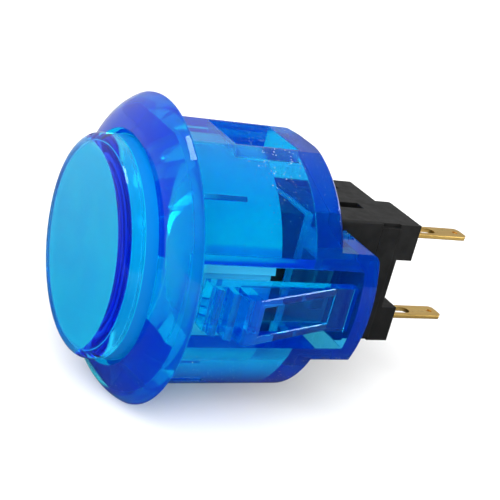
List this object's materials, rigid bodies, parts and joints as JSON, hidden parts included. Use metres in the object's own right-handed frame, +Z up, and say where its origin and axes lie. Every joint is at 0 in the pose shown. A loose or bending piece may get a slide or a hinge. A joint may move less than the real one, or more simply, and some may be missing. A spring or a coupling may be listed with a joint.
{
  "type": "arcade push button",
  "caption": "Translucent snap-in arcade push button: domed bezel, capped plunger, barrel with flats and spring tongues, and a black snap-in switch with blade terminals.",
  "frame": {"origin": "on the button's axis at the flange's rear face, where it meets the panel", "axes": "-Y out of the panel towards the finger, +Y the way the button is pressed, X through the two snap tongues, +Z up through a flat"},
  "size_m": [0.0352, 0.0472, 0.034],
  "materials": {
    "blue_clear": "clear moulded, glossy",
    "plunger_blue": "milky moulded, satin",
    "cap_clear": "clear moulded, polished",
    "switch_black": "black moulded, fine satin",
    "actuator_black": "black moulded, satin",
    "spring_steel": "drawn wire",
    "contact_brass": "rolled strip",
    "contact_silver": "headed rivet",
    "terminal_gold": "gold-coloured plating"
  },
  "bodies": {
    "button_body": {"housing": "blue_clear", "switch_case": "switch_black", "switch_base": "switch_black", "terminal_upper": "terminal_gold", "terminal_lower": "terminal_gold", "fixed_tips": "contact_silver", "return_spring": "spring_steel"},
    "plunger_body": {"plunger": "plunger_blue", "plunger_cap": "cap_clear"},
    "actuator_body": {"actuator": "actuator_black", "contact_spring": "spring_steel"},
    "bridge_body": {"contact_bridge": "contact_brass", "bridge_tips": "contact_silver"}
  },
  "joints": [
    {"name": "plunger_slide", "type": "slide", "parent": "button_body", "child": "plunger_body", "axis": [0, 1, 0], "range_m": [0, 0.003], "stiffness_N_per_m": 100, "springref_m": -0.004},
    {"name": "actuator_slide", "type": "slide", "parent": "button_body", "child": "actuator_body", "axis": [0, 1, 0], "range_m": [0, 0.003], "deforming": ["return_spring"]},
    {"name": "bridge_slide", "type": "slide", "parent": "button_body", "child": "bridge_body", "axis": [0, 1, 0], "range_m": [0, 0.00147], "deforming": ["contact_spring"]}
  ],
  "couplings": [
    {"joint": "actuator_slide", "follows": "plunger_slide", "ratio": 1},
    {"joint": "bridge_slide", "follows": "plunger_slide", "ratio": 0.49}
  ]
}
